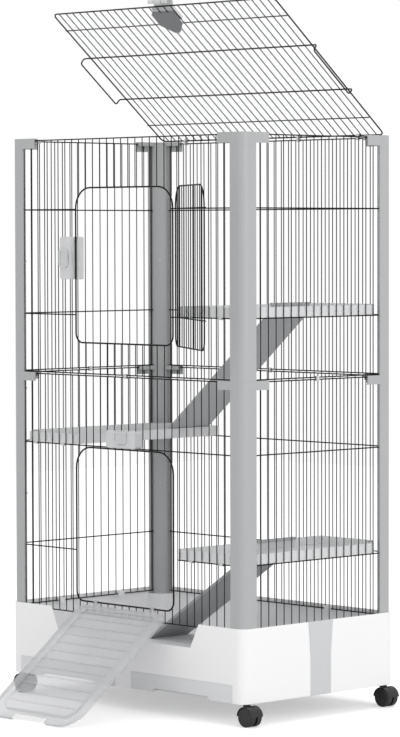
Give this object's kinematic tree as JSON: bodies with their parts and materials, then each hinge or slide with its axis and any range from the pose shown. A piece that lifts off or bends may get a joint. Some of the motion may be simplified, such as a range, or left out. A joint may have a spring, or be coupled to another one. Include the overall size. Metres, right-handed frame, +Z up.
{
  "type": "indoor rabbit cage",
  "caption": "Tall wire cage on a deep moulded base with casters, a ramp door, a side-hung door, a hinged lid, drawers, shelves and inner ramps.",
  "frame": {"origin": "on the floor under the middle of the base", "axes": "+X to the right along the door side, +Y to the back, +Z up; the doors face -Y"},
  "size_m": [0.8873, 0.8188, 1.7154],
  "materials": {
    "wire": "black powder coat, satin",
    "post": "mid grey moulded plastic",
    "base": "white moulded plastic, soft gloss",
    "band": "pale grey moulded plastic",
    "drawer": "light grey moulded plastic",
    "grate": "dark grey moulded plastic",
    "shelf": "milky translucent plastic",
    "inner_ramp": "dark grey moulded plastic",
    "ramp_door": "clear smoky plastic",
    "clear": "clear moulded plastic",
    "shield": "grey moulded plastic",
    "caster": "black nylon"
  },
  "bodies": {
    "cage": {"base_tub": "base", "base_band_left": "band", "base_band_right": "band", "floor_grate_left": "grate", "floor_grate_right": "grate", "lower_panel_front": "wire", "lower_panel_back": "wire", "lower_panel_left": "wire", "lower_panel_right": "wire", "upper_panel_front": "wire", "upper_panel_back": "wire", "upper_panel_left": "wire", "upper_panel_right": "wire", "lower_doorway_ring": "wire", "upper_doorway_ring": "wire", "panel_joiner_clips": "shield", "shelf_top": "shelf", "shelf_middle": "shelf", "shelf_low": "shelf", "shelf_hooks": "shield", "inner_ramp_upper": "inner_ramp", "inner_ramp_lower": "inner_ramp", "door_latch_housing": "clear", "ramp_latch_housing": "clear", "lid_hinge_clips": "clear", "lower_post_front_left": "post", "upper_post_front_left": "post", "post_joiner_front_left": "post", "post_cap_front_left": "post", "lower_post_front_right": "post", "upper_post_front_right": "post", "post_joiner_front_right": "post", "post_cap_front_right": "post", "lower_post_back_left": "post", "upper_post_back_left": "post", "post_joiner_back_left": "post", "post_cap_back_left": "post", "lower_post_back_right": "post", "upper_post_back_right": "post", "post_joiner_back_right": "post", "post_cap_back_right": "post"},
    "lid": {"lid_grille": "wire", "lid_hoops": "wire", "lid_latch_shield": "shield", "lid_latch_base": "clear"},
    "lid_latch_lever": {"lid_latch_lever": "clear"},
    "upper_door": {"upper_door": "wire"},
    "door_latch_bolt": {"door_latch_bolt": "clear"},
    "ramp_door": {"ramp_door": "ramp_door"},
    "ramp_latch_bolt": {"ramp_latch_bolt": "clear"},
    "drawer_left": {"drawer_left": "drawer"},
    "drawer_right": {"drawer_right": "drawer"},
    "caster_frame_front_left": {"caster_frame_front_left": "caster"},
    "caster_wheels_front_left": {"caster_wheels_front_left": "caster"},
    "caster_frame_front_right": {"caster_frame_front_right": "caster"},
    "caster_wheels_front_right": {"caster_wheels_front_right": "caster"},
    "caster_frame_back_left": {"caster_frame_back_left": "caster"},
    "caster_wheels_back_left": {"caster_wheels_back_left": "caster"},
    "caster_frame_back_right": {"caster_frame_back_right": "caster"},
    "caster_wheels_back_right": {"caster_wheels_back_right": "caster"}
  },
  "joints": [
    {"name": "lid_hinge", "type": "hinge", "parent": "cage", "child": "lid", "pos_m": [0, 0.24505, 1.3855], "axis": [-1, 0, 0], "range_deg": [-39.6, 65]},
    {"name": "lid_latch_pivot", "type": "hinge", "parent": "lid", "child": "lid_latch_lever", "pos_m": [0, -0.11916, 1.69513], "axis": [-1, 0, 0], "range_deg": [-42, 60]},
    {"name": "upper_door_hinge", "type": "hinge", "parent": "cage", "child": "upper_door", "pos_m": [0.173, -0.25105, 1.071], "axis": [0, 0, 1], "range_deg": [-148, 4]},
    {"name": "door_latch_slide", "type": "slide", "parent": "cage", "child": "door_latch_bolt", "axis": [1, 0, 0], "range_m": [0, 0.012]},
    {"name": "ramp_hinge", "type": "hinge", "parent": "cage", "child": "ramp_door", "pos_m": [0, -0.25105, 0.2507], "axis": [-1, 0, 0], "range_deg": [0, 127.7]},
    {"name": "ramp_latch_slide", "type": "slide", "parent": "cage", "child": "ramp_latch_bolt", "axis": [0, 0, -1], "range_m": [0, 0.012]},
    {"name": "drawer_left_slide", "type": "slide", "parent": "cage", "child": "drawer_left", "axis": [0, -1, 0], "range_m": [0, 0.15]},
    {"name": "drawer_right_slide", "type": "slide", "parent": "cage", "child": "drawer_right", "axis": [0, -1, 0], "range_m": [0, 0.15]},
    {"name": "caster_swivel_front_left", "type": "hinge", "parent": "cage", "child": "caster_frame_front_left", "pos_m": [-0.401, -0.232, 0.053], "axis": [0, 0, 1], "continuous": true},
    {"name": "wheel_spin_front_left", "type": "hinge", "parent": "caster_frame_front_left", "child": "caster_wheels_front_left", "pos_m": [-0.391, -0.232, 0.023], "axis": [0, 1, 0], "continuous": true},
    {"name": "caster_swivel_front_right", "type": "hinge", "parent": "cage", "child": "caster_frame_front_right", "pos_m": [0.401, -0.232, 0.053], "axis": [0, 0, 1], "continuous": true},
    {"name": "wheel_spin_front_right", "type": "hinge", "parent": "caster_frame_front_right", "child": "caster_wheels_front_right", "pos_m": [0.411, -0.232, 0.023], "axis": [0, 1, 0], "continuous": true},
    {"name": "caster_swivel_back_left", "type": "hinge", "parent": "cage", "child": "caster_frame_back_left", "pos_m": [-0.401, 0.232, 0.053], "axis": [0, 0, 1], "continuous": true},
    {"name": "wheel_spin_back_left", "type": "hinge", "parent": "caster_frame_back_left", "child": "caster_wheels_back_left", "pos_m": [-0.391, 0.232, 0.023], "axis": [0, 1, 0], "continuous": true},
    {"name": "caster_swivel_back_right", "type": "hinge", "parent": "cage", "child": "caster_frame_back_right", "pos_m": [0.401, 0.232, 0.053], "axis": [0, 0, 1], "continuous": true},
    {"name": "wheel_spin_back_right", "type": "hinge", "parent": "caster_frame_back_right", "child": "caster_wheels_back_right", "pos_m": [0.411, 0.232, 0.023], "axis": [0, 1, 0], "continuous": true}
  ]
}
